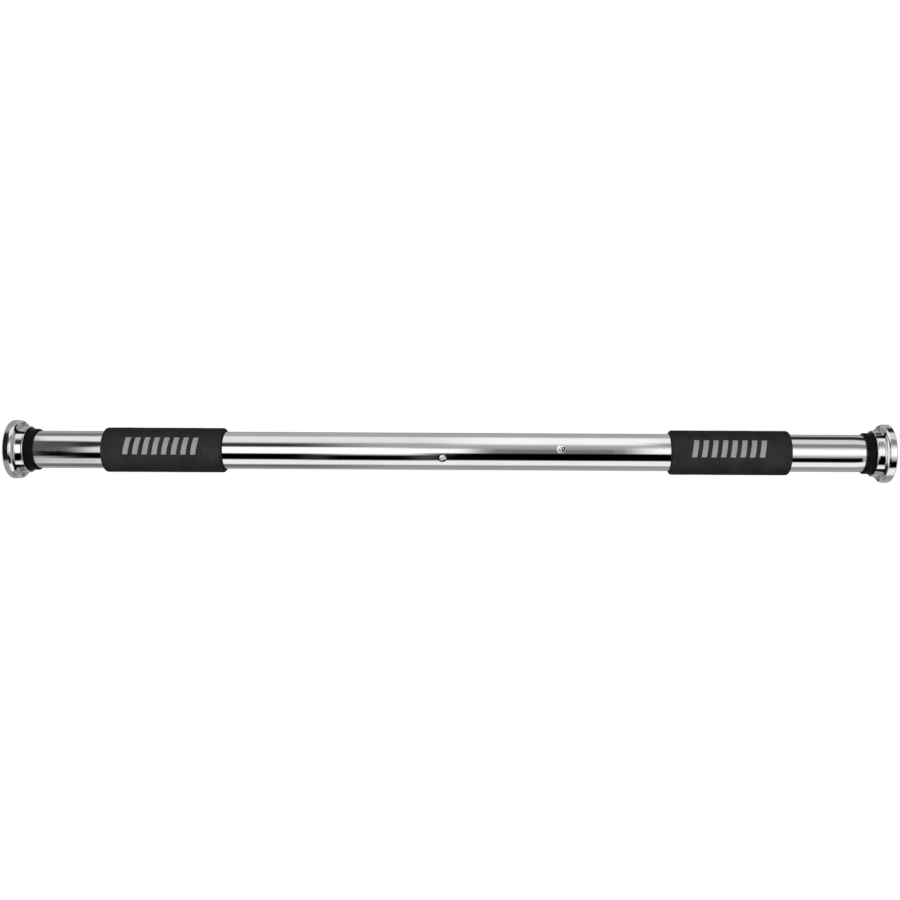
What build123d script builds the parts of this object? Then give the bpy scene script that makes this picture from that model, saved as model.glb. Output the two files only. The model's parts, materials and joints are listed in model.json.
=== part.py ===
"""Telescoping doorway pull up bar with a screw drive, in millimetres.

The bar lies along +X and is drawn closed, at its shortest. The origin is the centre of the left
flange's back face, which rests on the left jamb. +Z is up and -Y is the side that faces the user.

Turning the outer tube turns the threaded rod that is crimped inside it. The drive nut in the
inner tube cannot turn, so it walks along the rod and pushes the inner tube out of the mouth.
"""

import os
from math import cos, pi, radians, sin

from build123d import *

os.makedirs("parts", exist_ok=True)

# ---- Driving dimensions ----
closed_length = 755.0  # back face of one flange to back face of the other
travel = 180.0  # how far the screw can lengthen the bar
thread_lead = 4.0  # one turn of the outer tube lengthens the bar by this much

tube_wall = 1.5
outer_tube_radius = 16.0
inner_tube_radius = 13.5
running_gap = 0.05  # radial clearance where one piece turns or slides in another
body_gap = 0.3  # clearance between pieces that only stand beside each other

flange_radius = 25.0
flange_depth = 15.0
flange_web = 3.0
rim_height = 8.3  # the rounded rim stands this far off the jamb
valley_height = 7.6  # floor of the valley that holds the screw heads
collar_wall = 1.8
screw_circle_radius = 22.0
screw_hole_radius = 1.7
screw_head_radius = 2.6
screw_count = 4

cap_radius = 17.75
cap_length = 18.7
cap_floor = 3.7
cap_wall = 0.85
cap_lip = 0.8
liner_floor = 2.0
plug_head = 1.9
plug_length = 16.0
plug_wall = 2.5
bush_length = 16.0
bush_rim = 1.0

grip_radius = 19.25
grip_length = 103.0
grip_edge_round = 2.4
left_grip_start = 80.1
right_grip_start = 565.5

rod_radius = 7.0
nut_length = 26.0
nut_flange = 3.0
lock_nut_height = 8.0
lock_nut_flats = 22.0
sleeve_start = 363.5
sleeve_end = 479.0
sleeve_wall = 1.5
sleeve_web = 16.5  # solid end of the sleeve that grips the rod
stop_radius = 11.0
stop_length = 8.0
pin_radius = 2.0
pin_wall = 0.6
rivet_radius = 2.0

dimple_width = 6.0
dimple_depth = 0.8
dimples_per_ring = 3
ring_inset = 7.2  # the two dimple rings lie this far in from the sleeve's ends
ring_angles = (-22.0, 9.0)  # first dimple of each ring, degrees above the user's side

# ---- Sizes and places that follow from them ----
outer_bore = outer_tube_radius - tube_wall
inner_bore = inner_tube_radius - tube_wall
socket_radius = cap_radius + 0.35
cap_bore = cap_radius - cap_wall

left_cap_back = flange_web + body_gap
left_cap_edge = left_cap_back + cap_length
left_liner_back = left_cap_back + cap_floor
left_plug_back = left_liner_back + liner_floor + 0.1
outer_tube_start = left_plug_back + plug_head

right_cap_back = closed_length - left_cap_back
right_cap_edge = right_cap_back - cap_length
right_spacer_back = right_cap_back - cap_floor
right_plug_back = right_spacer_back - liner_floor
inner_tube_end = right_plug_back - plug_head
outer_tube_end = right_cap_edge - body_gap - bush_rim

ring_places = (sleeve_start + ring_inset, sleeve_end - ring_inset)
pin_place = sleeve_end - sleeve_web / 2
lock_nut_start = sleeve_end - sleeve_web - lock_nut_height
rod_start = lock_nut_start - 3
nut_start = sleeve_end + 1
inner_tube_start = nut_start + nut_flange
nut_end = nut_start + nut_length
rivet_place = nut_end - 6
stop_start = nut_end + travel + 0.5
stop_pin_place = stop_start + stop_length / 2
rod_end = stop_start + stop_length + 1


def outward(angle):
    """Unit direction away from the bar's axis, by degrees above the user's side."""
    return Vector(0, -cos(radians(angle)), sin(radians(angle)))


def on_axis(place):
    """The point of the bar's axis at a distance from the left jamb."""
    return Vector(place, 0, 0)


def tube(inner, outer, start, end):
    """A plain round tube along the bar's axis."""
    with BuildPart() as made:
        with BuildSketch(Plane.YZ.offset(start)):
            Circle(outer)
            Circle(inner, mode=Mode.SUBTRACT)
        extrude(amount=end - start)
    return made


def end_plug(back, into, head_radius, body_radius):
    """A cup-shaped plug: its head covers a tube's end and its body fills the bore.

    back is the head's outer face, and into is +1 or -1, the way that the body points.
    """
    head_plane = Plane(origin=on_axis(back), z_dir=(into, 0, 0))
    with BuildPart() as made:
        with BuildSketch(head_plane):
            Circle(head_radius)
        extrude(amount=plug_head)
        with BuildSketch(head_plane.offset(plug_head)):
            Circle(body_radius)
        extrude(amount=plug_length)
        with BuildSketch(head_plane.offset(plug_head + 1)):
            Circle(body_radius - plug_wall)
        extrude(amount=plug_length, mode=Mode.SUBTRACT)
    return made


def finish(piece, name):
    """Label a finished piece and write its file."""
    piece.label = name
    export_step(piece, f"parts/{name}.step")


# ---- Flanges: a chromed cup with a rounded rim, a valley of screw holes and a raised collar ----
with BuildPart() as left_flange:
    rim_start = (5.0, flange_radius)
    rim_crest = (rim_height, flange_radius - 2)
    collar_foot = (valley_height + 1, socket_radius + 2.3)
    collar_shoulder = (flange_depth - 1.2, socket_radius + collar_wall)
    collar_mouth = (flange_depth - 1.2, socket_radius)
    with BuildSketch(Plane.XZ):
        with BuildLine():
            Polyline((0, 0), (0, flange_radius - 0.6), (0.6, flange_radius), rim_start)
            TangentArc(rim_start, rim_crest, tangent=(1, 0))
            ThreePointArc(rim_crest, (valley_height, flange_radius - 3.2), collar_foot)
            Line(collar_foot, collar_shoulder)
            ThreePointArc(
                collar_shoulder,
                (flange_depth, socket_radius + collar_wall / 2),
                collar_mouth,
            )
            Polyline(collar_mouth, (flange_web, socket_radius), (flange_web, 0), (0, 0))
        make_face()
    revolve(axis=Axis.X)
    with Locations(Plane.YZ.offset(valley_height)):
        with PolarLocations(screw_circle_radius, screw_count, start_angle=45):
            CounterSinkHole(screw_hole_radius, screw_head_radius, counter_sink_angle=90)
    with BuildSketch(Plane.YZ.offset(valley_height)):
        with PolarLocations(screw_circle_radius, screw_count, start_angle=45):
            Circle(screw_head_radius)
    extrude(amount=flange_depth, mode=Mode.SUBTRACT)

# ---- Rubber end caps: a thick floor that presses on the jamb, and a thin skirt with a lip ----
with BuildPart() as left_end_cap:
    lip_radius = outer_tube_radius + body_gap
    with BuildSketch(Plane.XZ):
        with BuildLine():
            Polyline(
                (left_cap_back, 0),
                (left_cap_back, cap_radius),
                (left_cap_edge, cap_radius),
                (left_cap_edge, lip_radius),
                (left_cap_edge - cap_lip, lip_radius),
                (left_cap_edge - cap_lip, cap_bore),
                (left_liner_back, cap_bore),
                (left_liner_back, 0),
                close=True,
            )
        make_face()
    revolve(axis=Axis.X)
    outer_rims = left_end_cap.edges().filter_by(GeomType.CIRCLE).group_by(SortBy.RADIUS)[-1]
    fillet(outer_rims, radius=0.4)

# The right-hand flange and cap are the same mouldings, facing the other way.
middle = Plane.YZ.offset(closed_length / 2)
with BuildPart() as right_flange:
    mirror(left_flange.part, about=middle)
with BuildPart() as right_end_cap:
    mirror(left_end_cap.part, about=middle)

# ---- Left end: the outer tube turns in a plastic liner inside the rubber cap ----
with BuildPart() as left_cap_liner:
    liner_plane = Plane.YZ.offset(left_liner_back)
    with BuildSketch(liner_plane):
        Circle(cap_bore)
    extrude(amount=left_cap_edge - cap_lip - left_liner_back)
    with BuildSketch(liner_plane.offset(liner_floor)):
        Circle(outer_tube_radius + running_gap)
    extrude(amount=cap_length, mode=Mode.SUBTRACT)

left_end_plug = end_plug(left_plug_back, 1, outer_tube_radius - 0.1, outer_bore)

# ---- Outer tube, with two rings of crimped dimples that lock the sleeve inside it ----
with BuildPart() as outer_tube:
    dimple_sphere = dimple_width**2 / (8 * dimple_depth) + dimple_depth / 2
    with BuildSketch(Plane.YZ.offset(outer_tube_start)):
        Circle(outer_tube_radius)
        Circle(outer_bore, mode=Mode.SUBTRACT)
    extrude(amount=outer_tube_end - outer_tube_start)
    for place, first_angle in zip(ring_places, ring_angles):
        for number in range(dimples_per_ring):
            away = outward(first_angle + 360 * number / dimples_per_ring)
            bump_top = on_axis(place) + away * (outer_bore - dimple_depth)
            with BuildSketch(Plane(origin=bump_top, z_dir=away)):
                Circle(dimple_width / 3)
            extrude(amount=dimple_depth + tube_wall / 2)
            with Locations(on_axis(place) + away * (outer_tube_radius - dimple_depth + dimple_sphere)):
                Sphere(dimple_sphere, mode=Mode.SUBTRACT)

# ---- Foam grips, slid onto the outer tube ----
grips = {}
for name, start in (("left_grip", left_grip_start), ("right_grip", right_grip_start)):
    with BuildPart() as grip:
        with BuildSketch(Plane.YZ.offset(start)):
            Circle(grip_radius)
            Circle(outer_tube_radius, mode=Mode.SUBTRACT)
        extrude(amount=grip_length)
        rims = grip.edges().filter_by(GeomType.CIRCLE).group_by(SortBy.RADIUS)[-1]
        fillet(rims, radius=grip_edge_round)
    grips[name] = grip

# ---- Screw drive: sleeve, rod, lock nut and cross pin turn with the outer tube ----
with BuildPart() as anchor_sleeve:
    groove_width = dimple_width
    with BuildSketch(Plane.YZ.offset(sleeve_start)):
        Circle(outer_bore)
    extrude(amount=sleeve_end - sleeve_start)
    with BuildSketch(Plane.YZ.offset(sleeve_start)):
        Circle(outer_bore - sleeve_wall)
    extrude(amount=sleeve_end - sleeve_web - sleeve_start, mode=Mode.SUBTRACT)
    with BuildSketch(Plane.YZ.offset(sleeve_start)):
        Circle(rod_radius)
    extrude(amount=sleeve_end - sleeve_start, mode=Mode.SUBTRACT)
    for place in ring_places:
        with BuildSketch(Plane.YZ.offset(place - groove_width / 2)):
            Circle(outer_tube_radius)
            Circle(outer_bore - dimple_depth - 0.1, mode=Mode.SUBTRACT)
        extrude(amount=groove_width, mode=Mode.SUBTRACT)
    with BuildSketch(Plane.XY):
        with Locations((pin_place, 0)):
            Circle(pin_radius)
    extrude(amount=outer_tube_radius, both=True, mode=Mode.SUBTRACT)

with BuildPart() as threaded_rod:
    with BuildSketch(Plane.YZ.offset(rod_start)):
        Circle(rod_radius)
    extrude(amount=rod_end - rod_start)
    chamfer(threaded_rod.edges().filter_by(GeomType.CIRCLE), length=1)
    with BuildSketch(Plane.XY):
        with Locations((pin_place, 0), (stop_pin_place, 0)):
            Circle(pin_radius)
    extrude(amount=outer_tube_radius, both=True, mode=Mode.SUBTRACT)

with BuildPart() as rod_lock_nut:
    with BuildSketch(Plane.YZ.offset(lock_nut_start)):
        RegularPolygon(radius=lock_nut_flats / 2, side_count=6, major_radius=False)
        Circle(rod_radius, mode=Mode.SUBTRACT)
    extrude(amount=lock_nut_height)

with BuildPart() as anchor_pin:
    with BuildSketch(Plane.XY):
        with Locations((pin_place, 0)):
            Circle(pin_radius)
            Circle(pin_radius - pin_wall, mode=Mode.SUBTRACT)
    extrude(amount=outer_bore - 0.6, both=True)

with BuildPart() as stop_collar:
    with BuildSketch(Plane.YZ.offset(stop_start)):
        Circle(stop_radius)
        Circle(rod_radius, mode=Mode.SUBTRACT)
    extrude(amount=stop_length)
    with BuildSketch(Plane.XY):
        with Locations((stop_pin_place, 0)):
            Circle(pin_radius)
    extrude(amount=outer_tube_radius, both=True, mode=Mode.SUBTRACT)

with BuildPart() as stop_pin:
    with BuildSketch(Plane.XY):
        with Locations((stop_pin_place, 0)):
            Circle(pin_radius)
            Circle(pin_radius - pin_wall, mode=Mode.SUBTRACT)
    extrude(amount=stop_radius - 0.6, both=True)

with BuildPart() as mouth_bush:
    bush_bore = inner_tube_radius + running_gap
    with BuildSketch(Plane.YZ.offset(outer_tube_end - bush_length)):
        Circle(outer_bore)
        Circle(bush_bore, mode=Mode.SUBTRACT)
    extrude(amount=bush_length)
    with BuildSketch(Plane.YZ.offset(outer_tube_end)):
        Circle(outer_tube_radius)
        Circle(bush_bore, mode=Mode.SUBTRACT)
    extrude(amount=bush_rim)

# ---- Inner tube with the drive nut riveted into it ----
with BuildPart() as inner_tube:
    with BuildSketch(Plane.YZ.offset(inner_tube_start)):
        Circle(inner_tube_radius)
        Circle(inner_bore, mode=Mode.SUBTRACT)
    extrude(amount=inner_tube_end - inner_tube_start)
    with BuildSketch(Plane.XY):
        with Locations((rivet_place, 0)):
            Circle(rivet_radius)
    extrude(amount=outer_tube_radius, both=True, mode=Mode.SUBTRACT)

with BuildPart() as drive_nut:
    rivet_foot = inner_bore - 3
    with BuildSketch(Plane.YZ.offset(nut_start)):
        Circle(inner_tube_radius)
    extrude(amount=nut_flange)
    with BuildSketch(Plane.YZ.offset(inner_tube_start)):
        Circle(inner_bore)
    extrude(amount=nut_length - nut_flange)
    with BuildSketch(Plane.YZ.offset(nut_start)):
        Circle(rod_radius + running_gap)
    extrude(amount=nut_length, mode=Mode.SUBTRACT)
    for side in (1, -1):
        with BuildSketch(Plane.XY.offset(side * rivet_foot)):
            with Locations((rivet_place, 0)):
                Circle(rivet_radius)
        extrude(amount=side * (inner_bore - rivet_foot), mode=Mode.SUBTRACT)

with BuildPart() as nut_rivets:
    for side in (1, -1):
        with BuildSketch(Plane.XY.offset(side * rivet_foot)):
            with Locations((rivet_place, 0)):
                Circle(rivet_radius)
        extrude(amount=side * (inner_tube_radius - 0.2 - rivet_foot))

guide_bush = tube(
    inner_tube_radius, outer_bore - running_gap, inner_tube_start + 1, inner_tube_start + 13
)

# ---- Right end: the inner tube is seated in a plastic spacer inside the rubber cap ----
right_end_plug = end_plug(right_plug_back, -1, inner_tube_radius - 0.1, inner_bore)

with BuildPart() as right_cap_spacer:
    spacer_plane = Plane.YZ.offset(right_spacer_back)
    with BuildSketch(spacer_plane):
        Circle(cap_bore)
    extrude(amount=right_cap_edge + cap_lip - right_spacer_back)
    with BuildSketch(spacer_plane.offset(-liner_floor)):
        Circle(inner_tube_radius)
    extrude(amount=-cap_length, mode=Mode.SUBTRACT)

# ---- Files, one for each piece ----
pieces = {
    "left_flange": left_flange,
    "left_end_cap": left_end_cap,
    "left_cap_liner": left_cap_liner,
    "left_end_plug": left_end_plug,
    "outer_tube": outer_tube,
    "left_grip": grips["left_grip"],
    "right_grip": grips["right_grip"],
    "anchor_sleeve": anchor_sleeve,
    "threaded_rod": threaded_rod,
    "rod_lock_nut": rod_lock_nut,
    "anchor_pin": anchor_pin,
    "stop_collar": stop_collar,
    "stop_pin": stop_pin,
    "mouth_bush": mouth_bush,
    "inner_tube": inner_tube,
    "drive_nut": drive_nut,
    "nut_rivets": nut_rivets,
    "guide_bush": guide_bush,
    "right_end_plug": right_end_plug,
    "right_cap_spacer": right_cap_spacer,
    "right_end_cap": right_end_cap,
    "right_flange": right_flange,
}
for name, piece in pieces.items():
    finish(piece.part, name)

print("turns for the full travel:", travel / thread_lead)
print("extension in metres per radian:", thread_lead / 1000 / (2 * pi))
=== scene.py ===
"""Chromed telescoping doorway pull up bar: looks, camera and studio. Metres, in the CAD's frame."""

import json
from math import atan2, cos, degrees, hypot, pi, radians, sin, tau

import bmesh
import bpy
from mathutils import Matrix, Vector, noise


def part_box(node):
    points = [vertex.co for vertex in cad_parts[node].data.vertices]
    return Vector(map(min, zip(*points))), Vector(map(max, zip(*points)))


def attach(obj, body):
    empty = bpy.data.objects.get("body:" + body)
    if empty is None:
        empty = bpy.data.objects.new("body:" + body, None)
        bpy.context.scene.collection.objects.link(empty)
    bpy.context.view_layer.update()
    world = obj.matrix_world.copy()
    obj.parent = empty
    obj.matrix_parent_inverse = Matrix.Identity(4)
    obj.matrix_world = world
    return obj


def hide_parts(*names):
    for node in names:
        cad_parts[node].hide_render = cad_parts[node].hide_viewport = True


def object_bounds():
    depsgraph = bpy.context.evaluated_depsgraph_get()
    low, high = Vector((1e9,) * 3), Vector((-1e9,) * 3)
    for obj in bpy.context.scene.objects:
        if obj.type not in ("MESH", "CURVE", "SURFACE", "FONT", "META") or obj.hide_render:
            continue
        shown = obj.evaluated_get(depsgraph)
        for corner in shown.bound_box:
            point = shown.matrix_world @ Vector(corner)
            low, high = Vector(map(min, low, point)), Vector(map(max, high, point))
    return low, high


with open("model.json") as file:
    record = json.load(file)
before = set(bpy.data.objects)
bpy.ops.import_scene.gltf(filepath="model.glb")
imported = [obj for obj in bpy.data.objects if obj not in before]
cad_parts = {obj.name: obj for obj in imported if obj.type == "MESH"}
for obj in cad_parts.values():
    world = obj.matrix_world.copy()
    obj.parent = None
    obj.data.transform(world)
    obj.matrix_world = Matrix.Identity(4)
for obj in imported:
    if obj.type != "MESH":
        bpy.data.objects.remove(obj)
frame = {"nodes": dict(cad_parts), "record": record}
cad_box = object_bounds()
MM = 0.001
SHARP_EDGE = radians(32)  # edges that turn more than this are shaded sharp


# ---------------------------------------------------------------- places, from the frame
def reach(node):
    """(start along the bar, end along the bar, outer radius) of a CAD node."""
    low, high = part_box(node)
    return low.x, high.x, (high.z - low.z) / 2


TUBE_START, TUBE_END, TUBE_RADIUS = reach("outer_tube")
INNER_START, INNER_END, INNER_RADIUS = reach("inner_tube")
CAP_BACK, CAP_EDGE, CAP_RADIUS = reach("left_end_cap")
ROD_START, ROD_END, ROD_RADIUS = reach("threaded_rod")
SLEEVE_START, SLEEVE_END, _ = reach("anchor_sleeve")
LINER_BACK = reach("left_cap_liner")[0]
LENGTH = cad_box[1][0] - cad_box[0][0]
WALL = 1.5 * MM

# Each ring of dimples: its place along the bar, and how many degrees above the user's side its
# first dimple lies.
DIMPLE_INSET = 7.2 * MM
DIMPLE_RINGS = ((SLEEVE_START + DIMPLE_INSET, -22), (SLEEVE_END - DIMPLE_INSET, 9))
DIMPLES_PER_RING = 3
DIMPLE_RADIUS = 3.5 * MM
DIMPLE_DEPTH = 1.2 * MM
DIMPLE_EASING = 0.2  # 0 makes a plain cone; more softens its tip and its edge
SCREW_CIRCLE = 22 * MM
SCREW_HOLE_RADIUS = 1.7 * MM
SCREW_SEAT = 7.6 * MM
SCREW_HEAD_RADIUS = 2.6 * MM
SCREW_ANGLES = (45, 135, 225, 315)


# ---------------------------------------------------------------- outlines and lathed meshes
def arc(centre, radius, start, end, steps):
    """Points (along, radius) of a circular arc, from angle start to angle end in degrees."""
    angles = [radians(start + (end - start) * k / steps) for k in range(steps + 1)]
    return [(centre[0] + radius * cos(a), centre[1] + radius * sin(a)) for a in angles]


def arc_through(first, middle, last, steps):
    """Points of the circular arc from first to last by way of middle."""
    (ax, ay), (bx, by), (cx, cy) = first, middle, last
    twice = 2 * (ax * (by - cy) + bx * (cy - ay) + cx * (ay - by))
    a2, b2, c2 = ax * ax + ay * ay, bx * bx + by * by, cx * cx + cy * cy
    centre = (
        (a2 * (by - cy) + b2 * (cy - ay) + c2 * (ay - by)) / twice,
        (a2 * (cx - bx) + b2 * (ax - cx) + c2 * (bx - ax)) / twice,
    )
    angle = [degrees(atan2(y - centre[1], x - centre[0])) for x, y in (first, middle, last)]
    turn = (angle[2] - angle[0]) % 360
    if (angle[1] - angle[0]) % 360 > turn:
        turn -= 360
    return arc(centre, hypot(ax - centre[0], ay - centre[1]), angle[0], angle[0] + turn, steps)


def run(start, end, step):
    """Evenly spaced numbers from start to end, about step apart, with both ends."""
    count = max(1, round(abs(end - start) / step))
    return [start + (end - start) * k / count for k in range(count + 1)]


def straight(first, last, steps):
    """Points on the line from first, which is left out, to last."""
    share = [k / steps for k in range(1, steps + 1)]
    return [(first[0] + (last[0] - first[0]) * u, first[1] + (last[1] - first[1]) * u) for u in share]


def in_metres(outline):
    """An outline drawn in millimetres, in metres."""
    return [(along * MM, radius * MM) for along, radius in outline]


def new_object(name, verts, faces):
    """A smooth-shaded mesh object with consistent outward normals."""
    mesh = bpy.data.meshes.new(name)
    mesh.from_pydata(verts, [], faces)
    work = bmesh.new()
    work.from_mesh(mesh)
    bmesh.ops.remove_doubles(work, verts=work.verts, dist=1e-7)
    bmesh.ops.recalc_face_normals(work, faces=work.faces)
    work.to_mesh(mesh)
    work.free()
    mesh.shade_smooth()
    mesh.set_sharp_from_angle(angle=SHARP_EDGE)
    piece = bpy.data.objects.new(name, mesh)
    bpy.context.scene.collection.objects.link(piece)
    return piece


def lathe(name, outline, sides, shape=None):
    """Turns a closed outline of (along, radius) points about the bar's axis.

    Angle 0 faces the user (-Y) and 90 degrees is up. shape(along, angle, radius) may change a
    point's radius, for dents and soft surfaces.
    """
    verts, rows, faces = [], [], []
    for along, radius in outline:
        if radius < 1e-9:
            rows.append([len(verts)] * sides)
            verts.append((along, 0, 0))
            continue
        rows.append(list(range(len(verts), len(verts) + sides)))
        for k in range(sides):
            angle = tau * k / sides
            r = shape(along, angle, radius) if shape else radius
            verts.append((along, -r * cos(angle), r * sin(angle)))
    for here, there in zip(rows, rows[1:] + rows[:1]):
        for k in range(sides):
            n = (k + 1) % sides
            face = list(dict.fromkeys((here[k], here[n], there[n], there[k])))
            if len(face) > 2:
                faces.append(face)
    return new_object(name, verts, faces)


def mirrored(piece, name):
    """The same piece facing the other way, for the right-hand end."""
    mesh = piece.data.copy()
    for vertex in mesh.vertices:
        vertex.co.x = LENGTH - vertex.co.x
    mesh.flip_normals()
    twin = bpy.data.objects.new(name, mesh)
    bpy.context.scene.collection.objects.link(twin)
    return twin


# ---------------------------------------------------------------- materials
def grey(level):
    """A neutral colour from its display level, 0 to 1."""
    linear = level / 12.92 if level <= 0.04045 else ((level + 0.055) / 1.055) ** 2.4
    return (linear, linear, linear, 1)


class Shader:
    """A new node material with a few helpers that keep the recipes below short."""

    def __init__(self, name, **values):
        self.material = bpy.data.materials.new(name)
        self.material.use_nodes = True
        self.tree = self.material.node_tree
        self.bsdf = self.tree.nodes["Principled BSDF"]
        self.place = self.tree.nodes.new("ShaderNodeTexCoord")
        for socket, value in values.items():
            self.bsdf.inputs[socket.replace("_", " ")].default_value = value

    def node(self, kind, **values):
        made = self.tree.nodes.new(kind)
        for key, value in values.items():
            if key in made.bl_rna.properties:
                setattr(made, key, value)
            else:
                made.inputs[key.replace("_", " ")].default_value = value
        return made

    def link(self, out, into):
        self.tree.links.new(out, into)

    def coordinates(self, stretch=(1, 1, 1)):
        made = self.node("ShaderNodeMapping", Scale=stretch)
        self.link(self.place.outputs["Object"], made.inputs["Vector"])
        return made.outputs["Vector"]

    def noise(self, scale, detail, stretch=(1, 1, 1), roughness=0.5):
        made = self.node("ShaderNodeTexNoise", Scale=scale, Detail=detail, Roughness=roughness)
        self.link(self.coordinates(stretch), made.inputs["Vector"])
        return made.outputs["Fac"]

    def cells(self, scale, smooth):
        made = self.node("ShaderNodeTexVoronoi", feature="SMOOTH_F1", Scale=scale, Smoothness=smooth)
        self.link(self.coordinates(), made.inputs["Vector"])
        return made.outputs["Distance"]

    def spread(self, value, low, high, start=0.3, end=0.7):
        """Maps a texture value from start..end to low..high."""
        made = self.node("ShaderNodeMapRange", From_Min=start, From_Max=end, To_Min=low, To_Max=high)
        self.link(value, made.inputs["Value"])
        return made.outputs["Result"]

    def mix(self, value, first, second):
        made = self.node("ShaderNodeMix", data_type="RGBA")
        self.link(value, made.inputs["Factor"])
        for socket, colour in zip(made.inputs[6:8], (first, second)):
            if isinstance(colour, tuple):
                socket.default_value = colour
            else:
                self.link(colour, socket)
        return made.outputs[2]

    def bump(self, value, strength, distance, below=None):
        made = self.node("ShaderNodeBump", Strength=strength, Distance=distance)
        self.link(value, made.inputs["Height"])
        if below is not None:
            self.link(below, made.inputs["Normal"])
        self.link(made.outputs["Normal"], self.bsdf.inputs["Normal"])
        return made.outputs["Normal"]

    def colour(self, out):
        self.link(out, self.bsdf.inputs["Base Color"])

    def rough(self, out):
        self.link(out, self.bsdf.inputs["Roughness"])


def chrome(name, waviness, roughness=(0.03, 0.075)):
    """Bright plated steel: a slightly uneven plating, fine buffing marks and a few dull spots."""
    paint = Shader(name, Metallic=1.0)
    cool, neutral = (0.86, 0.865, 0.88, 1), (0.92, 0.92, 0.925, 1)
    paint.colour(paint.mix(paint.spread(paint.noise(30, 4), 0, 1), cool, neutral))
    paint.rough(paint.spread(paint.noise(140, 6, roughness=0.65), *roughness))
    swell = paint.bump(paint.noise(22, 2), 1.0, waviness)
    paint.bump(paint.noise(260, 3, stretch=(14, 1, 1)), 0.12, 2e-6, below=swell)
    return paint.material


def foam_skin():
    """Closed-cell foam: matt black skin with fine pores, which are painted darker as painted shade, a
    little blotchy, and a faint sheen.
    """
    paint = Shader("foam_skin", Sheen_Weight=0.02, Sheen_Roughness=0.4, Specular_IOR_Level=0.06)
    dark, light, pore_shade = (0.021, 0.021, 0.0215, 1), (0.034, 0.034, 0.0345, 1), (0.008, 0.008, 0.008, 1)
    blotchy = paint.mix(paint.spread(paint.noise(70, 5), 0, 1), dark, light)
    pores = paint.cells(1300, smooth=0.35)
    # Painted shade: the pores get a darker colour for the shade inside them.
    paint.colour(paint.mix(paint.spread(pores, 1, 0, 0.10, 0.34), blotchy, pore_shade))
    paint.rough(paint.spread(paint.noise(400, 3), 0.72, 0.92))
    pitted = paint.bump(pores, 0.8, 2.2e-4)
    paint.bump(paint.noise(420, 4), 0.35, 1.6e-4, below=pitted)
    return paint.material


def print_ink():
    """Light grey screen print on foam: the pores show through as specks."""
    paint = Shader("print_ink", Specular_IOR_Level=0.3)
    ink, bare = (0.28, 0.28, 0.285, 1), (0.06, 0.06, 0.06, 1)
    specks = paint.spread(paint.noise(1500, 4, roughness=0.7), 1, 0, 0.30, 0.38)
    paint.colour(paint.mix(specks, ink, bare))
    paint.rough(paint.spread(paint.noise(500, 2), 0.6, 0.8))
    paint.bump(paint.cells(1500, smooth=0.4), 0.4, 1.0e-4)
    return paint.material


def moulded(name, dark, light, roughness, grain=900, gloss=0.5):
    """Moulded rubber or plastic: fine grain, slightly uneven colour and gloss."""
    paint = Shader(name, Specular_IOR_Level=gloss)
    paint.colour(paint.mix(paint.spread(paint.noise(90, 4), 0, 1), dark, light))
    paint.rough(paint.spread(paint.noise(260, 4), *roughness))
    paint.bump(paint.noise(grain, 4), 0.4, 3e-5)
    return paint.material


def turned_steel(name):
    """Zinc-plated turned steel, with fine marks round the axis."""
    paint = Shader(name, Metallic=1.0, Anisotropic=0.4)
    dull, bright = (0.50, 0.50, 0.47, 1), (0.66, 0.66, 0.64, 1)
    paint.colour(paint.mix(paint.spread(paint.noise(120, 5), 0, 1), dull, bright))
    paint.rough(paint.spread(paint.noise(300, 4, stretch=(6, 1, 1)), 0.24, 0.42))
    paint.bump(paint.noise(700, 3, stretch=(8, 1, 1)), 0.3, 1e-5)
    return paint.material


def hole_shade_steel(name):
    """Painted shade for the insides of the screw holes: a dark, dull steel colour."""
    paint = Shader(name, Metallic=0.6, Specular_IOR_Level=0.2)
    dark, brown = (0.012, 0.012, 0.012, 1), (0.03, 0.029, 0.028, 1)
    paint.colour(paint.mix(paint.spread(paint.noise(400, 4), 0, 1), dark, brown))
    paint.rough(paint.spread(paint.noise(600, 3), 0.55, 0.75))
    paint.bump(paint.noise(900, 3), 0.3, 2e-5)
    return paint.material


CHROME_TUBE = chrome("chrome_tube", 1.2e-5)
CHROME_FLANGE = chrome("chrome_flange", 0.8e-5)
UNPOLISHED = chrome("unpolished_plating", 2e-5, roughness=(0.30, 0.46))
FOAM = foam_skin()
INK = print_ink()
RUBBER = moulded("black_rubber", grey(0.025), grey(0.06), (0.40, 0.55), gloss=0.10)
PLASTIC = moulded("black_plastic", grey(0.12), grey(0.15), (0.28, 0.40), grain=500)
NYLON = moulded("white_nylon", (0.70, 0.68, 0.62, 1), (0.78, 0.76, 0.71, 1), (0.35, 0.50), grain=400)
STEEL = turned_steel("zinc_steel")
# Painted shade: the walls of the screw holes are coloured dark.
HOLE_SHADE = hole_shade_steel("painted_hole_shade")
SLOT_MATERIALS = {
    "chrome_tube": CHROME_TUBE,
    "chrome_flange": CHROME_FLANGE,
    "black_foam": FOAM,
    "black_rubber": RUBBER,
    "black_plastic": PLASTIC,
    "white_nylon": NYLON,
    "zinc_steel": STEEL,
}


def install(piece, body, slot, *nodes, material=None):
    """Gives a piece its material, the slot's unless one is given, and fastens it to its CAD body."""
    if not piece.data.materials:
        piece.data.materials.append(material or SLOT_MATERIALS[slot])
    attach(piece, body)
    if nodes:
        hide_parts(*nodes)


# ---------------------------------------------------------------- CAD nodes that stay
for part in frame["record"]["subparts"]:
    node = frame["nodes"][part["node"]]
    node.data.materials.clear()
    node.data.materials.append(SLOT_MATERIALS[part["material_slot"]])
    node.data.shade_smooth()
    node.data.set_sharp_from_angle(angle=radians(30))


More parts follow.
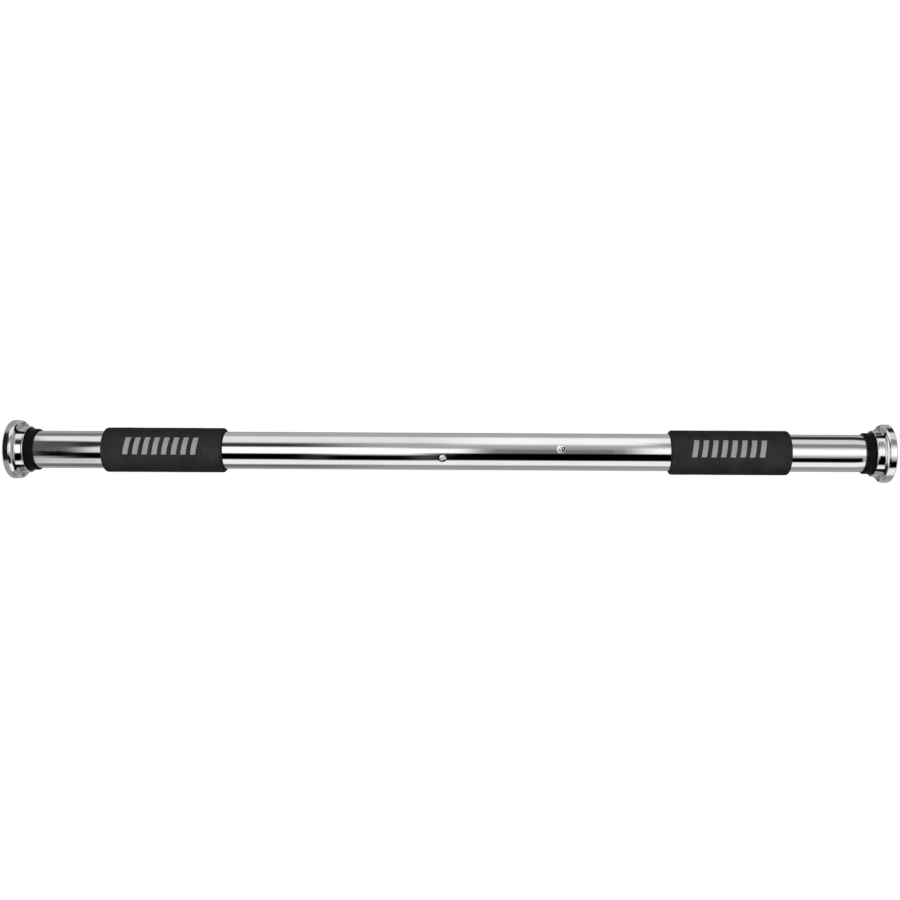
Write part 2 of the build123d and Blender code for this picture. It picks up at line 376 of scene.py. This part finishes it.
# ---------------------------------------------------------------- flanges
def flange():
    """Round rim, a valley for the screws, and a raised collar round the socket."""
    outer, socket, collar, web = 25, 18.1, 19.9, 3.0
    foot, rim_start, rim_round, web_round = 0.7, 5, 3.72, 0.4
    rim_end, valley_floor, collar_foot = (8.3, 23.0), (7.6, 21.8), (8.6, 20.4)
    collar_top, lip_tip, socket_mouth = (13.8, collar), (15, 19.0), (13.8, socket)
    outline = [(0, 0)]
    outline += [(0, radius) for radius in run(2, outer - 0.8, 2.2)]
    outline += arc((foot, outer - foot), foot, 180, 90, 5)
    outline += [(along, outer) for along in run(foot + 0.5, rim_start, 0.95)]
    outline += arc((rim_start, outer - rim_round), rim_round, 86, 27.5, 16)
    outline += arc_through(rim_end, valley_floor, collar_foot, 16)[1:]
    outline += straight(collar_foot, collar_top, 8)
    outline += arc_through(collar_top, lip_tip, socket_mouth, 16)[1:]
    outline += [(along, socket) for along in run(13.0, web + 0.5, 1.2)]
    outline += arc((web + web_round, socket - web_round), web_round, 90, 180, 4)
    outline += [(web, radius) for radius in run(16, 0, 2)]
    return lathe("left_flange_shell", in_metres(outline), sides=288)


def round_cutter(profile, centre, direction, sides=56):
    """A closed round solid about an axis through centre, from (distance, radius) pairs."""
    side = direction.orthogonal().normalized()
    up = direction.cross(side)
    verts = [
        centre + direction * distance + (side * cos(tau * k / sides) + up * sin(tau * k / sides)) * r
        for distance, r in profile
        for k in range(sides)
    ]
    last = (len(profile) - 1) * sides
    faces = [list(range(sides)), list(range(last, last + sides))]
    for row in range(0, last, sides):
        for k in range(sides):
            n = (k + 1) % sides
            faces.append([row + k, row + n, row + sides + n, row + sides + k])
    return verts, faces


def together(solids):
    """Several (verts, faces) solids as one."""
    verts, faces = [], []
    for corners, sides in solids:
        faces += [[len(verts) + i for i in side] for side in sides]
        verts += corners
    return verts, faces


def cut_away(piece, material, solids, inside):
    """Subtracts the solids from a piece; the walls that this leaves get the inside material."""
    cutter = new_object("cutter", *together(solids))
    cutter.data.materials.append(inside)
    piece.data.materials.append(material)
    cut = piece.modifiers.new("cut", "BOOLEAN")
    cut.operation, cut.solver, cut.object = "DIFFERENCE", "EXACT", cutter
    cut.material_mode = "TRANSFER"
    bpy.context.view_layer.update()
    result = piece.evaluated_get(bpy.context.evaluated_depsgraph_get())
    piece.data = bpy.data.meshes.new_from_object(result)
    piece.modifiers.clear()
    bpy.data.objects.remove(cutter)
    piece.data.shade_smooth()
    piece.data.set_sharp_from_angle(angle=SHARP_EDGE)


def screw_spot(angle):
    """Centre of a screw hole on the flange's back face."""
    return Vector((0, -SCREW_CIRCLE * cos(radians(angle)), SCREW_CIRCLE * sin(radians(angle))))


def screw_hole(angle):
    """The countersunk hole and the pocket that the driver and the screw's head pass through."""
    before, beyond = -1 * MM, 20 * MM
    profile = [
        (before, SCREW_HOLE_RADIUS),
        (SCREW_SEAT - SCREW_HEAD_RADIUS + SCREW_HOLE_RADIUS, SCREW_HOLE_RADIUS),
        (SCREW_SEAT, SCREW_HEAD_RADIUS),
        (beyond, SCREW_HEAD_RADIUS),
    ]
    return round_cutter(profile, screw_spot(angle), Vector((1, 0, 0)))


def leave_unpolished(piece):
    """The flat back, which lies against the door jamb, is plated but not polished."""
    piece.data.materials.append(UNPOLISHED)
    for face in piece.data.polygons:
        if face.normal.x < -0.999 and face.center.x < 0.01 * MM:
            face.material_index = len(piece.data.materials) - 1


left_flange = flange()
# The walls left by the screw holes get the dark painted-shade material.
cut_away(left_flange, CHROME_FLANGE, [screw_hole(angle) for angle in SCREW_ANGLES], inside=HOLE_SHADE)
leave_unpolished(left_flange)
right_flange = mirrored(left_flange, "right_flange_shell")
install(left_flange, "left_flange", "chrome_flange", "left_flange")
install(right_flange, "right_flange", "chrome_flange", "right_flange")


# ---------------------------------------------------------------- rubber end caps
def end_cap():
    """A rubber cup: thick floor, thin skirt with a rounded edge and a lip at its mouth."""
    skirt, lip, lip_round, lip_depth = 0.85, 16.3, 0.15, 0.8
    back_round, edge_round = 0.6, 0.5
    back, edge, floor, outer = CAP_BACK / MM, CAP_EDGE / MM, LINER_BACK / MM, CAP_RADIUS / MM
    bore = outer - skirt
    outline = [(back, 0)] + [(back, radius) for radius in run(2, outer - 1, 2)]
    outline += arc((back + back_round, outer - back_round), back_round, 180, 90, 6)
    outline += [(along, outer) for along in run(back + 1.2, edge - 1, 1.2)]
    outline += arc((edge - edge_round, outer - edge_round), edge_round, 90, 0, 6)
    outline += [(edge, lip + lip_round), (edge - lip_round, lip)]
    outline += [(edge - lip_depth, lip), (edge - lip_depth, bore)]
    outline += [(along, bore) for along in run(edge - 2, floor, 2)]
    outline += [(floor, radius) for radius in run(15, 0, 2.5)]
    return lathe("left_cap_rubber", in_metres(outline), sides=160)


left_cap = end_cap()
right_cap = mirrored(left_cap, "right_cap_rubber")
install(left_cap, "left_cap", "black_rubber", "left_end_cap")
install(right_cap, "inner_bar", "black_rubber", "right_end_cap")


# ---------------------------------------------------------------- tubes
def dented(along, angle, radius):
    """The outer tube's surface, pressed in at each crimped dimple."""
    if radius < TUBE_RADIUS - 1e-5:
        return radius
    for place, first in DIMPLE_RINGS:
        if abs(along - place) > DIMPLE_RADIUS:
            continue
        for k in range(DIMPLES_PER_RING):
            centre = radians(first + 360 * k / DIMPLES_PER_RING)
            around = (angle - centre + pi) % tau - pi
            away = hypot(along - place, around * TUBE_RADIUS) / DIMPLE_RADIUS
            if away < 1:
                up = 1 - away
                return radius - DIMPLE_DEPTH * (up - DIMPLE_EASING * sin(tau * up) / tau)
    return radius


def tube_outline(start, end, outer, bore, dense_at=()):
    """Closed outline of a straight tube, with fine rings round the places named."""
    edge, corner = 0.4 * MM, 0.1 * MM
    clear, dense, fine_step = 5 * MM, 4 * MM, 0.16 * MM
    stops = {round(x, 6) for x in run(start + edge, end - edge, 9 * MM)}
    for place in dense_at:
        stops = {x for x in stops if abs(x - place) > clear}
        stops |= {round(x, 6) for x in run(place - dense, place + dense, fine_step)}
    outside = [(x, outer) for x in sorted(stops)]
    inside = [(x, bore) for x in run(end, start, 12 * MM)]
    nose = [(end - corner, outer - corner), (end, outer - edge)]
    tail = [(start, outer - edge), (start + corner, outer - corner)]
    return outside + nose + inside + tail


outer_tube = lathe(
    "outer_tube_chrome",
    tube_outline(TUBE_START, TUBE_END, TUBE_RADIUS, TUBE_RADIUS - WALL, [p for p, _ in DIMPLE_RINGS]),
    sides=384,
    shape=dented,
)
install(outer_tube, "outer_bar", "chrome_tube", "outer_tube")
inner_tube = lathe(
    "inner_tube_chrome",
    tube_outline(INNER_START, INNER_END, INNER_RADIUS, INNER_RADIUS - WALL),
    sides=192,
)
install(inner_tube, "inner_bar", "chrome_tube", "inner_tube")


# ---------------------------------------------------------------- foam grips and their print
FOAM_SINK = 0.06 * MM  # the skin lies this far below its nominal size, on average


def unevenness(along, angle):
    """How far the foam's skin stands in or out, from a slow swell and a finer unevenness."""
    around = 19 * MM
    at = Vector((along, around * cos(angle), around * sin(angle)))
    return 0.10 * MM * noise.noise(at * 55) + 0.045 * MM * noise.noise(at * 230) - FOAM_SINK


def foam_surface(along, angle, radius):
    """Uneven outside, true in the bore."""
    if radius < TUBE_RADIUS + 1.2 * MM:
        return radius
    return radius + unevenness(along, angle)


def grip(name, node):
    """A foam sleeve with rounded ends, on the tube."""
    start, end, outer = reach(node)
    bore, edge, bore_round = TUBE_RADIUS + 0.02 * MM, 2.4 * MM, 0.25 * MM
    outline = arc((start + edge, outer - edge), edge, 180, 90, 9)
    outline += [(x, outer) for x in run(start + edge + 1 * MM, end - edge - 1 * MM, 1.1 * MM)]
    outline += arc((end - edge, outer - edge), edge, 90, 0, 9)
    outline += arc((end - bore_round, bore + bore_round), bore_round, 0, -90, 3)
    outline += [(x, bore) for x in run(end - 4 * MM, start + 4 * MM, 4 * MM)]
    outline += arc((start + bore_round, bore + bore_round), bore_round, 270, 180, 3)
    made = lathe(name, outline, sides=200, shape=foam_surface)
    return made


def stroke(corners, start, outer, middle):
    """A thin curved slab on the foam from a four-cornered shape, given as (along, round) in mm."""
    across, along = 10, 6
    rooted, raised = 0.5 * MM, 0.07 * MM
    low, high = outer - rooted, outer + raised
    verts, faces = [], []
    for base in (low, high):
        for i in range(across + 1):
            for j in range(along + 1):
                u, v = j / along, i / across
                bottom = [corners[0][c] * (1 - u) + corners[1][c] * u for c in (0, 1)]
                top = [corners[3][c] * (1 - u) + corners[2][c] * u for c in (0, 1)]
                x = start + (bottom[0] * (1 - v) + top[0] * v) * MM
                angle = middle + (bottom[1] * (1 - v) + top[1] * v) * MM / outer
                r = base + unevenness(x, angle)
                verts.append((x, -r * cos(angle), r * sin(angle)))
    width, layer = along + 1, (along + 1) * (across + 1)
    for i in range(across):
        for j in range(along):
            a = i * width + j
            faces.append([a, a + 1, a + 1 + width, a + width])
            faces.append([layer + a, layer + a + width, layer + a + width + 1, layer + a + 1])
    rim = [j for j in range(width)] + [i * width + along for i in range(1, across + 1)]
    rim += [across * width + j for j in range(along - 1, -1, -1)]
    rim += [i * width for i in range(across - 1, 0, -1)]
    for a, b in zip(rim, rim[1:] + rim[:1]):
        faces.append([a, b, layer + b, layer + a])
    return verts, faces


def print_mark(name, node, offset):
    """A plain mark on the user's side of a grip: a row of slanted bars."""
    start, _, outer = reach(node)
    bars, pitch, width, half_height, slant = 8, 8.2, 4.4, 7.6, 2.4
    middle = radians(11)
    slabs = []
    for k in range(bars):
        left, right = pitch * k, pitch * k + width
        corners = [
            (left, -half_height),
            (right, -half_height),
            (right + slant, half_height),
            (left + slant, half_height),
        ]
        slabs.append(stroke(corners, start + offset, outer, middle))
    return new_object(name, *together(slabs))


for side, offset in (("left", 19.4 * MM), ("right", 17.0 * MM)):
    install(grip(f"{side}_grip_foam", f"{side}_grip"), "outer_bar", "black_foam", f"{side}_grip")
    mark = print_mark(f"{side}_grip_print", f"{side}_grip", offset)
    install(mark, "outer_bar", "black_foam", material=INK)


# ---------------------------------------------------------------- screw drive
def threaded_rod():
    """The rod with its real right-hand trapezoidal thread, which runs out before each end."""
    pitch, depth, sides = 4 * MM, 2.25 * MM, 64
    crest, flank, plain = 0.366, 0.151, 3 * MM
    corners = [(0, 0), (crest, 0), (crest + flank, 1), (1 - flank, 1)]
    first, last = ROD_START + plain, ROD_END - plain - pitch
    turns = int((last - first) / pitch)

    circle = [(cos(tau * k / sides), sin(tau * k / sides)) for k in range(sides)]

    def ring(x, radius):
        return [(x, radius * across, radius * up) for across, up in circle]

    def cut(x):
        """How much of the thread's depth is cut here, from 0 to 1."""
        from_end = min(x - first - pitch, first + turns * pitch - x)
        return min(1, max(0, from_end / (0.75 * pitch)))

    chamfer = 1 * MM
    rows = [ring(ROD_START, ROD_RADIUS - chamfer), ring(ROD_START + chamfer, ROD_RADIUS)]
    rows.append(ring(first, ROD_RADIUS))
    helix = []
    for turn in range(turns):
        for part, sunk in corners:
            row = []
            for k, (across, up) in enumerate(circle):
                x = first + (turn + part + k / sides) * pitch
                radius = ROD_RADIUS - depth * sunk * cut(x)
                row.append((x, radius * across, radius * up))
            helix.append(row)
    end = first + (turns + 1) * pitch
    tail = [ring(end, ROD_RADIUS), ring(ROD_END - chamfer, ROD_RADIUS)]
    tail.append(ring(ROD_END, ROD_RADIUS - chamfer))
    verts = [point for row in rows + helix + tail for point in row]
    per_turn, base, count = len(corners), len(rows) * sides, len(helix)

    def at(row, k):
        return base + row * sides + k

    faces = [list(range(sides)), list(range(len(verts) - sides, len(verts)))]
    for row in (0, sides, base + count * sides, base + (count + 1) * sides):
        for k in range(sides):
            n = (k + 1) % sides
            faces.append([row + k, row + n, row + sides + n, row + sides + k])
    for row in range(count - 1):
        for k in range(sides - 1):
            faces.append([at(row, k), at(row, k + 1), at(row + 1, k + 1), at(row + 1, k)])
    for row in range(count - 1 - per_turn):
        near, far = row + per_turn, row + per_turn + 1
        faces.append([at(row, sides - 1), at(near, 0), at(far, 0), at(row + 1, sides - 1)])
    head, foot = 2 * sides, base + count * sides
    for k in range(sides - 1):
        faces.append([head + k, head + k + 1, at(0, k + 1), at(0, k)])
        faces.append([at(count - 1, k), at(count - 1, k + 1), foot + k + 1, foot + k])
    first_turn = [at(row, 0) for row in range(per_turn + 1)]
    faces.append([head + sides - 1, head] + first_turn + [at(0, sides - 1)])
    open_edge = [at(row, sides - 1) for row in range(count - 1 - per_turn, count)]
    faces.append([at(count - 1, 0)] + open_edge + [foot + sides - 1, foot])
    return new_object("threaded_rod_steel", verts, faces)


def pin_hole(pin):
    """The cross hole that a spring pin is driven through."""
    low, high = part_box(pin)
    centre = (low + high) / 2
    radius, reach_out = (high.x - low.x) / 2, 1.3 * ROD_RADIUS
    return round_cutter([(-reach_out, radius), (reach_out, radius)], centre, Vector((0, 0, 1)))


rod = threaded_rod()
cut_away(rod, STEEL, [pin_hole("anchor_pin"), pin_hole("stop_pin")], inside=STEEL)
install(rod, "outer_bar", "zinc_steel", "threaded_rod")


# ---------------------------------------------------------------- camera, at the photograph's angle
CAMERA_AT = (0.413, -0.952, 0.0)
camera_data = bpy.data.cameras.new("camera")
camera_data.sensor_width = 36
camera_data.lens = 44.04
camera_data.shift_x = -0.0467
camera_data.shift_y = 0.0018
camera_data.clip_start, camera_data.clip_end = 0.01, 50
camera = bpy.data.objects.new("camera", camera_data)
camera.location = CAMERA_AT
camera.rotation_euler = (radians(90), radians(-0.3), 0)
bpy.context.scene.collection.objects.link(camera)
bpy.context.scene.camera = camera


# ---------------------------------------------------------------- studio
# What polished chrome sees. It shows the studio by direction: the angle round the bar (0 towards
# the user, 90 straight up) and the lean along it (distance to the side over distance away).
# Each panel has a brightness as it looks on screen, its two edges round the bar with their
# softness, and its two edges along the bar with theirs. Later panels cover earlier ones.
FAR = 99
ALL_ALONG = ((-FAR, FAR), 1)
SURROUND = 0.64
PANELS = (
    ("bright ceiling", 0.88, (52, 98), 8, *ALL_ALONG),
    ("brighter ceiling in the middle", 0.96, (42, 94), 14, (-0.03, 0.17), 0.04),
    ("dull ceiling at the left end", 0.46, (90, 128), 7, (-FAR, -0.34), 0.02),
    ("bright ceiling on the right", 0.80, (64, 88), 7, (0.21, FAR), 0.04),
    ("dark strip of ceiling on the right", 0.16, (92, 124), 7, (0.21, FAR), 0.04),
    ("grey wall on the right", 0.50, (36, 60), 7, (0.15, FAR), 0.03),
    ("bright floor", 0.92, (-94, -58), 5, *ALL_ALONG),
    ("dimmer floor at the left end", 0.76, (-92, -46), 6, (-FAR, -0.35), 0.02),
    ("dull floor", 0.57, (-134, -98), 6, *ALL_ALONG),
    ("dark floor on the left", 0.42, (-134, -98), 6, (-FAR, -0.13), 0.05),
    ("shadow above the left softbox", 0.20, (22, 46), 6, (-0.50, -0.14), 0.05),
    ("left softbox", 1.0, (-19, 21), 5, (-0.36, -0.08), 0.03),
    ("left softbox's tapered end", 1.0, (-19, 16), 7, (-0.12, -0.006), 0.03),
    ("upper half of the gap between softboxes", 0.62, (-20, 38), 16, (-0.010, 0.135), 0.02),
    ("lower half of the gap between softboxes", 0.42, (-20, 15), 12, (-0.010, 0.135), 0.02),
    ("right softbox", 1.0, (-14, 26), 12, (0.135, FAR), 0.02),
    ("black table edge", 0.0, (-57, -18), 5, (-0.40, -0.15), 0.03),
    ("black table edge, further off", 0.0, (-60, -26), 6, (-0.17, -0.05), 0.03),
    ("black table edge below the gap", 0.0, (-56, -11), 4, (-0.06, 0.21), 0.02),
    ("black table edge on the right", 0.0, (-59, -29), 6, (0.20, 0.6), 0.04),
    ("shadow at the left softbox's end", 0.14, (14, 50), 6, (-0.39, -0.352), 0.015),
    ("left wall", 0.31, (-8, 54), 7, (-FAR, -0.378), 0.014),
    ("black table edge at the left end", 0.0, (-42, -7), 5, (-FAR, -0.378), 0.014),
    ("dim far left", 0.58, (-200, 200), 1, (-FAR, -0.418), 0.012),
    ("bright window far left", 0.92, (-70, 75), 15, (-FAR, -0.7), 0.1),
    ("black doorway far left", 0.08, (-46, 70), 8, (-0.75, -0.418), 0.012),
    ("dark floor far left", 0.14, (-165, -62), 12, (-2.2, -0.8), 0.2),
    ("dim far right", 0.58, (-200, 200), 1, (0.9, FAR), 0.25),
    ("dark floor far right", 0.14, (-165, -62), 12, (0.9, 2.2), 0.25),
    ("strip behind, above", 0.12, (158, 172), 3, *ALL_ALONG),
    ("strip behind, below", 0.12, (-172, -158), 3, *ALL_ALONG),
)
STUDIO_STRENGTH = 1.12
FRONT_LIGHT, EDGE_LIGHT, BACK_LIGHT = 5.9, 0.02, 1.1  # on matt surfaces


def studio_world():
    """White as the camera sees it, panels as chrome reflects it, and soft front light on the rest."""
    world = bpy.data.worlds.new("studio")
    world.use_nodes = True
    bpy.context.scene.world = world
    tree = world.node_tree
    tree.nodes.clear()

    def node(kind, **values):
        made = tree.nodes.new(kind)
        for key, value in values.items():
            setattr(made, key, value)
        return made

    def feed(socket, value):
        if isinstance(value, bpy.types.NodeSocket):
            tree.links.new(value, socket)
        else:
            socket.default_value = value

    def maths(operation, first, second=0.0):
        made = node("ShaderNodeMath", operation=operation)
        feed(made.inputs[0], first)
        feed(made.inputs[1], second)
        return made.outputs[0]

    def smooth(value, start, end, low=0.0, high=1.0):
        made = node("ShaderNodeMapRange", interpolation_type="SMOOTHSTEP")
        names = ("Value", "From Min", "From Max", "To Min", "To Max")
        for name, number in zip(names, (value, start, end, low, high)):
            feed(made.inputs[name], number)
        return made.outputs["Result"]

    def window(value, edges, softness):
        low, high = edges
        rise = smooth(value, low - softness, low + softness)
        return maths("SUBTRACT", rise, smooth(value, high - softness, high + softness))

    def background(colour, strength):
        made = node("ShaderNodeBackground")
        feed(made.inputs["Color"], colour)
        feed(made.inputs["Strength"], strength)
        return made.outputs[0]

    def choose(factor, first, second):
        made = node("ShaderNodeMixShader")
        for socket, value in zip(made.inputs, (factor, first, second)):
            feed(socket, value)
        return made.outputs[0]

    place = node("ShaderNodeTexCoord")
    axes = node("ShaderNodeSeparateXYZ")
    feed(axes.inputs["Vector"], place.outputs["Generated"])
    x, y, z = axes.outputs
    towards_user = maths("MULTIPLY", y, -1.0)
    angle = maths("MULTIPLY", maths("ARCTAN2", z, towards_user), degrees(1))
    away = maths("SQRT", maths("ADD", maths("MULTIPLY", y, y), maths("MULTIPLY", z, z)))
    lean = maths("DIVIDE", x, maths("MAXIMUM", away, 0.01))

    look = grey(SURROUND)
    for _, brightness, edges, softness, ends, end_softness in PANELS:
        cover = node("ShaderNodeMix", data_type="RGBA")
        mask = maths("MULTIPLY", window(angle, edges, softness), window(lean, ends, end_softness))
        feed(cover.inputs["Factor"], mask)
        feed(cover.inputs[6], look)
        feed(cover.inputs[7], grey(brightness))
        look = cover.outputs[2]

    seen = node("ShaderNodeLightPath")
    front = smooth(towards_user, 0.8, 1.0, EDGE_LIGHT, FRONT_LIGHT)
    behind = smooth(towards_user, -0.3, -1.0, 0.0, BACK_LIGHT - EDGE_LIGHT)
    soft_light = background((1, 1, 1, 1), maths("ADD", front, behind))
    lit = choose(seen.outputs["Is Diffuse Ray"], background(look, STUDIO_STRENGTH), soft_light)
    lit = choose(seen.outputs["Is Camera Ray"], lit, background((1, 1, 1, 1), 1.0))
    out = node("ShaderNodeOutputWorld")
    feed(out.inputs["Surface"], lit)


def pale_floor():
    """A plain, evenly lit pale floor, well below the bar."""
    depth, half = 1.1, 9.0
    corners = [(x, y, -depth) for x, y in ((-half, -half), (half, -half), (half, half), (-half, half))]
    mesh = bpy.data.meshes.new("floor")
    mesh.from_pydata(corners, [], [(0, 1, 2, 3)])
    floor = bpy.data.objects.new("floor", mesh)
    bpy.context.scene.collection.objects.link(floor)
    paint = Shader("pale_floor", Roughness=0.9, Emission_Strength=0.9)
    paint.bsdf.inputs["Emission Color"].default_value = (1, 1, 1, 1)
    paint.colour(paint.mix(paint.spread(paint.noise(3, 2), 0, 1), grey(0.970), grey(0.982)))
    mesh.materials.append(paint.material)
    floor.visible_glossy = False
    floor.visible_diffuse = False


studio_world()
pale_floor()
bpy.context.scene.view_settings.view_transform = "Standard"
